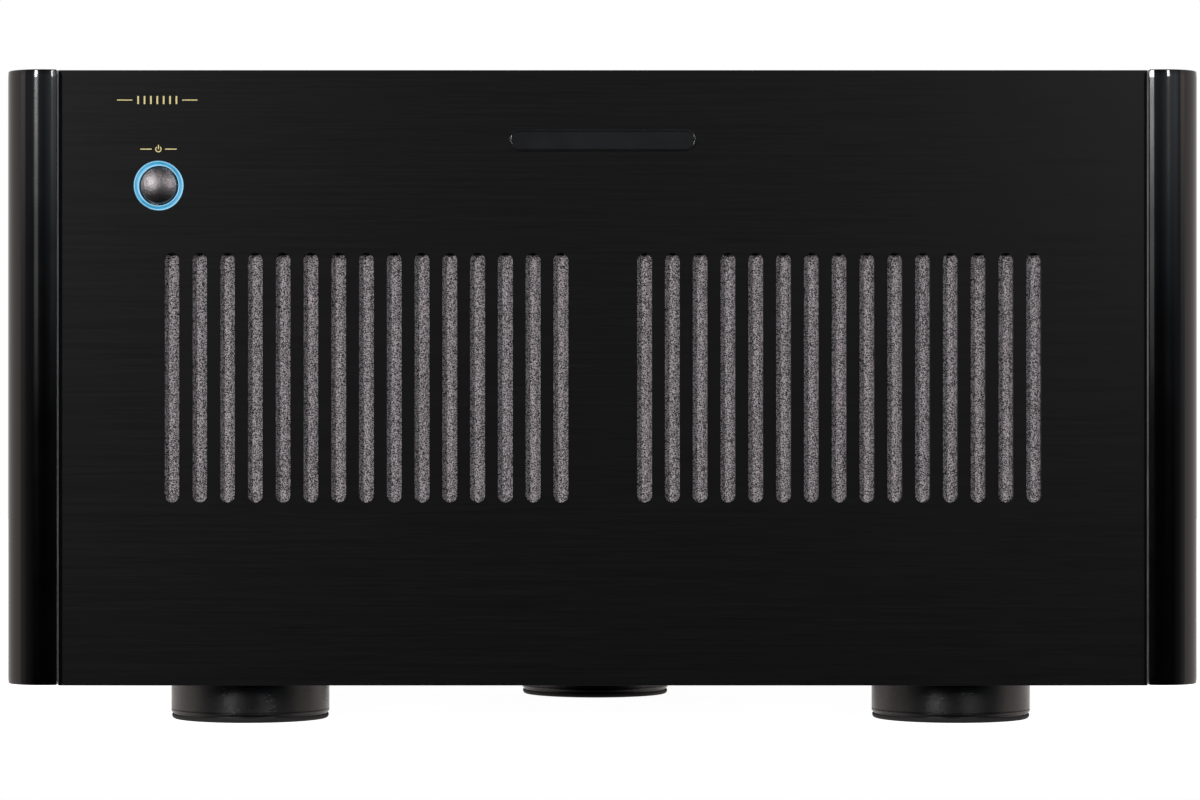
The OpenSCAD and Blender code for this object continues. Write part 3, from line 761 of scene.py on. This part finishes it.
def rear_print():
    """Thin white frames, channel numbers and polarity signs on the rear panel."""
    ink = Print(REAR_Y, 1)
    line = 0.4
    for number, x in zip(CHANNELS, CHANNEL_X):
        ink.frame((x, 169), 47, 117, 3, line)
        cell = 0.85
        for stroke in NUMERALS[number]:
            ink.stroke((x + cell, 222.6), [(u * cell, v * cell) for u, v in stroke], line)
        for side, sign in ((1, "plus"), (-1, "minus")):
            spot = (x + side * 9.5, 146)
            ink.stroke(spot, [(-1.6, 0), (1.6, 0)], line)
            if sign == "plus":
                ink.stroke(spot, [(0, -1.6), (0, 1.6)], line)
        ink.stroke((x, 182), [(-11, -1), (-11, 2), (-6, 2)], line)
    ink.frame((INLET.x, INLET.z), 56, 44, 3, line)
    ink.power_sign((ROCKER.x, 83), 2.2, line)
    for x in (118, 140):
        ink.ring((x, 56), 7, line)
    piece("rear_print", ink.shape, FINISH["print"], "white_plastic")


# ---- inside ----


def inside():
    for side in ("left", "right"):
        edged(f"{side}_heat_sink", f"{side}_finned_sink", FINISH["sink"], 0.3, 1)
        painted(f"{side}_amp_boards", FINISH["board"])
        winding(f"{side}_transformer", f"{side}_toroid")
    for node in ("standby_board", "power_supply_board", "input_board"):
        painted(node, FINISH["board"])
    edged("output_transistors", "transistor_packages", FINISH["chip"], 0.4)
    edged("rectifier_bridges", "bridge_packages", FINISH["chip"], 0.6)
    edged("transformer_clamps", "toroid_clamps", FINISH["zinc"], 0.3)
    capacitors()


def winding(node, name):
    """A toroid wound with tape, whose turns stand up as low ridges."""
    low, high = box(node)
    centre = (low + high) / 2
    outer = (high.x - low.x) / 2
    bore, corner, turns, ridge = 22, 12, 90, 0.5
    section = rounded(rectangle(outer - bore, high.z - low.z, ((outer + bore) / 2, 0)), corner, 8)
    rings = []
    for k in range(turns * 4):
        angle = math.tau * k / (turns * 4)
        depth = ridge * (1 - abs(math.cos(angle * turns / 2)))
        ring = [(centre.x + r * math.cos(angle), centre.y + r * math.sin(angle), centre.z + h)
                for r, h in inset(section, depth)]
        rings.append(ring)
    shape = Shape().loft(rings, cyclic=True)
    piece(name, shape, FINISH["wire"], "transformer_winding", node, crease=60)


def capacitors():
    """Sleeved cans with a rolled rim and a scored top."""
    low, high = box("filter_capacitors")
    r = 17.5
    height = high.z - low.z
    sleeve = [(0, 0), (r - 0.4, 0), (r, 0.4), (r, 3), (r - 0.5, 4), (r - 0.5, 4.6), (r, 5.6)]
    sleeve.append((r, height - 0.8))
    sleeve += arc((r - 0.8, height - 0.8), 0.8, 15, 90, 5)
    sleeve += [(r - 2, height), (r - 2.3, height - 0.5), (0, height - 0.5)]
    disc = [(0, height - 0.6), (r - 2.4, height - 0.6), (r - 2.6, height - 0.3), (0, height - 0.3)]
    cans, tops = Shape(), Shape()
    for x in (-72, -24, 24, 72):
        for y in (24, 68):
            cans.lathe(sleeve, (x, y, low.z), "z", 64)
            tops.lathe(disc, (x, y, low.z), "z", 64)
            for turn in (90, 210, 330):
                a = math.radians(turn)
                tip = (x + 11 * math.cos(a), y + 11 * math.sin(a))
                across = (0.5 * math.sin(a), -0.5 * math.cos(a))
                outline = [(x - across[0], y - across[1]), (tip[0] - across[0], tip[1] - across[1]),
                           (tip[0] + across[0], tip[1] + across[1]), (x + across[0], y + across[1])]
                tops.prism(outline, high.z - 0.35, high.z - 0.1, axis="z")
    piece("capacitor_sleeves", cans, FINISH["can"], "capacitor_can", "filter_capacitors")
    piece("capacitor_tops", tops, FINISH["aluminium"], "zinc_steel")


# ---- studio ----


def stage_mesh(name, points, faces, material):
    mesh = bpy.data.meshes.new(name)
    mesh.from_pydata(points, [], faces)
    mesh.materials.append(material)
    made = bpy.data.objects.new(name, mesh)
    bpy.context.scene.collection.objects.link(made)
    return made


def floor():
    """A pale floor that runs into the white background."""
    made = Finish("pale_floor", (0.75, 0.75, 0.75), 0.9)
    made.mottle(made.noise(300), 0.01)
    made.set(made.shader, {"Emission Color": (1, 1, 1, 1), "Emission Strength": 0.97})
    near, far, half = -0.45, 2.4, 1.6
    corners = [(-half, near, 0), (half, near, 0), (half, far, 0), (-half, far, 0)]
    plane = stage_mesh("floor", corners, [(0, 1, 2, 3)], made.material)
    plane.visible_diffuse = False
    plane.visible_glossy = False


# Light of the studio's walls by azimuth, in degrees from the front and negative on the left. The side
# walls shine the same at every height. The front walls are added to them, and their height follows.
SIDE_WALLS = [
    (-180, (0.9, 0.86, 0.84)), (-77, (0.82, 0.73, 0.72)), (-74, (0.38, 0.34, 0.33)),
    (-60, (0.27, 0.25, 0.25)), (-57, (0.16, 0.16, 0.17)), (-28, (0, 0, 0)), (36, (0, 0, 0)),
    (59, (0.13, 0.14, 0.15)), (62, (0.27, 0.25, 0.25)), (74, (0.38, 0.34, 0.33)),
    (77, (0.82, 0.73, 0.72)), (180, (0.9, 0.86, 0.84)),
]
FRONT_WALLS = [
    (-180, (0, 0, 0)), (-76, (0, 0, 0)), (-74, (0.90, 0.79, 0.80)), (-60, (1.10, 0.96, 0.98)),
    (-57, (0.12, 0.12, 0.14)), (-46, (0.25, 0.26, 0.30)), (-20, (0.32, 0.33, 0.37)),
    (0, (0.3, 0.32, 0.35)), (25, (0.75, 0.81, 0.90)), (44, (0.90, 0.97, 1.08)),
    (58, (0.15, 0.16, 0.18)), (61, (1.10, 0.96, 0.98)), (74, (0.90, 0.79, 0.80)),
    (76, (0, 0, 0)), (180, (0, 0, 0)),
]
FRONT_RISE = (0.8, 6.2)   # elevations between which the front walls come in
FRONT_CURVE = 3.0         # how slowly they do so at first
FRONT_FALL = (8, 20)      # elevations between which they fade again
FRONT_LOW = 0.2           # share of their light that is there below the rise, before the curve
FRONT_HIGH = 0.2          # and above the fall


def by_azimuth(made, share, levels):
    """A colour for each azimuth, blended between the levels given."""
    ramp = made.add("ValToRGB", {"Fac": share})
    stops = ramp.color_ramp.elements
    while len(stops) < len(levels):
        stops.new(0.5)
    for stop, (azimuth, colour) in zip(stops, levels):
        stop.position = (azimuth + 180) / 360
        stop.color = (*colour, 1)
    return ramp.outputs["Color"]


def walls():
    """Studio walls as a dome that lights the object and hides from the camera."""
    radius = 6.0
    made = Finish("studio_walls", (0, 0, 0), 1.0)
    parts = made.add("SeparateXYZ", {0: made.place})
    ahead = made.add("Math", {0: parts.outputs["Y"], 1: -1.0}, operation="MULTIPLY").outputs[0]
    turn = made.add("Math", {0: parts.outputs["X"], 1: ahead}, operation="ARCTAN2").outputs[0]
    share = made.span(turn, 0, 1, -math.pi, math.pi)
    rise, fall = ([radius * math.sin(math.radians(e)) for e in pair] for pair in (FRONT_RISE, FRONT_FALL))
    foot = made.span(parts.outputs["Z"], FRONT_LOW, 1, *rise)
    roof = made.span(parts.outputs["Z"], 1, FRONT_HIGH, *fall)
    foot = made.add("Math", {0: foot, 1: FRONT_CURVE}, operation="POWER").outputs[0]
    height = made.add("Math", {0: foot, 1: roof}, operation="MULTIPLY").outputs[0]
    front_light = made.add("VectorMath", {0: by_azimuth(made, share, FRONT_WALLS), "Scale": height},
                           operation="SCALE").outputs[0]
    total = made.add("VectorMath", {0: by_azimuth(made, share, SIDE_WALLS), 1: front_light}).outputs[0]
    light = made.add("Emission", {"Color": total, "Strength": 1.0})
    output = next(n for n in made.tree.nodes if n.type == "OUTPUT_MATERIAL")
    made.tree.links.new(light.outputs[0], output.inputs["Surface"])
    shape = Shape()
    profile = [(radius / MM * math.sin(math.radians(t)), -radius / MM * math.cos(math.radians(t)))
               for t in range(6, 180, 6)]
    shape.lathe([(0, -radius / MM), *profile, (0, radius / MM)], axis="z", segments=72)
    bmesh.ops.scale(shape.mesh, vec=(MM, MM, MM), verts=shape.mesh.verts)
    mesh = bpy.data.meshes.new("studio_walls")
    shape.mesh.to_mesh(mesh)
    mesh.materials.append(made.material)
    dome = bpy.data.objects.new("studio_walls", mesh)
    bpy.context.scene.collection.objects.link(dome)
    dome.visible_camera = False
    dome.visible_shadow = False


def softbox(name, azimuth, elevations, distance, width, radiance):
    """An upright area light that faces the object and spans two elevations."""
    low, high = (distance * math.tan(math.radians(e)) for e in elevations)
    height = high - low
    lamp = bpy.data.lights.new(name, "AREA")
    lamp.shape = "RECTANGLE"
    lamp.size = width
    lamp.size_y = height
    lamp.energy = radiance * math.pi * width * height
    made = bpy.data.objects.new(name, lamp)
    turn = math.radians(azimuth)
    aim = Vector((0, -0.2, 0.12))
    made.location = aim + Vector((distance * math.sin(turn), -distance * math.cos(turn), (low + high) / 2))
    made.rotation_euler = (math.pi / 2, 0, turn)
    made.visible_camera = False
    bpy.context.scene.collection.objects.link(made)
    return made


def studio():
    """White surroundings, the walls, two tall softboxes in front with spill on the left, and a roof light."""
    world = bpy.data.worlds.new("white")
    world.use_nodes = True
    world.node_tree.nodes["Background"].inputs["Color"].default_value = (1, 1, 1, 1)
    bpy.context.scene.world = world
    bpy.context.scene.view_settings.view_transform = "Standard"
    floor()
    walls()
    softbox("left_softbox", -27, (8.2, 17.5), 3.0, 0.30, 88)
    for low, radiance in ((6.6, 4.4), (5.2, 2.0), (3.8, 1.1), (2.4, 0.9), (1.0, 0.7)):
        softbox(f"left_spill_{low}", -26.6, (low, low + 1.4), 3.0, 0.60, radiance)
    softbox("right_softbox", 24, (8.6, 17.5), 3.0, 0.30, 44)
    overhead = softbox("overhead", 0, (-11, 11), 3.0, 1.2, 3)
    overhead.location = (0, 0.3, 1.8)
    overhead.rotation_euler = (0, 0, 0)


def camera():
    """A long lens in front, slightly left of the middle, level, at half the object's height."""
    lens = bpy.data.cameras.new("camera")
    lens.sensor_width = 36
    lens.lens = 124.75
    lens.shift_x = 0.0589
    made = bpy.data.objects.new("camera", lens)
    made.location = (-0.0265, -1.722, 0.118)
    made.rotation_euler = (math.pi / 2, 0, 0)
    bpy.context.scene.collection.objects.link(made)
    bpy.context.scene.camera = made


camera()
studio()
front()
case()
feet()
fasteners()
terminals()
connectors()
rear_print()
inside()
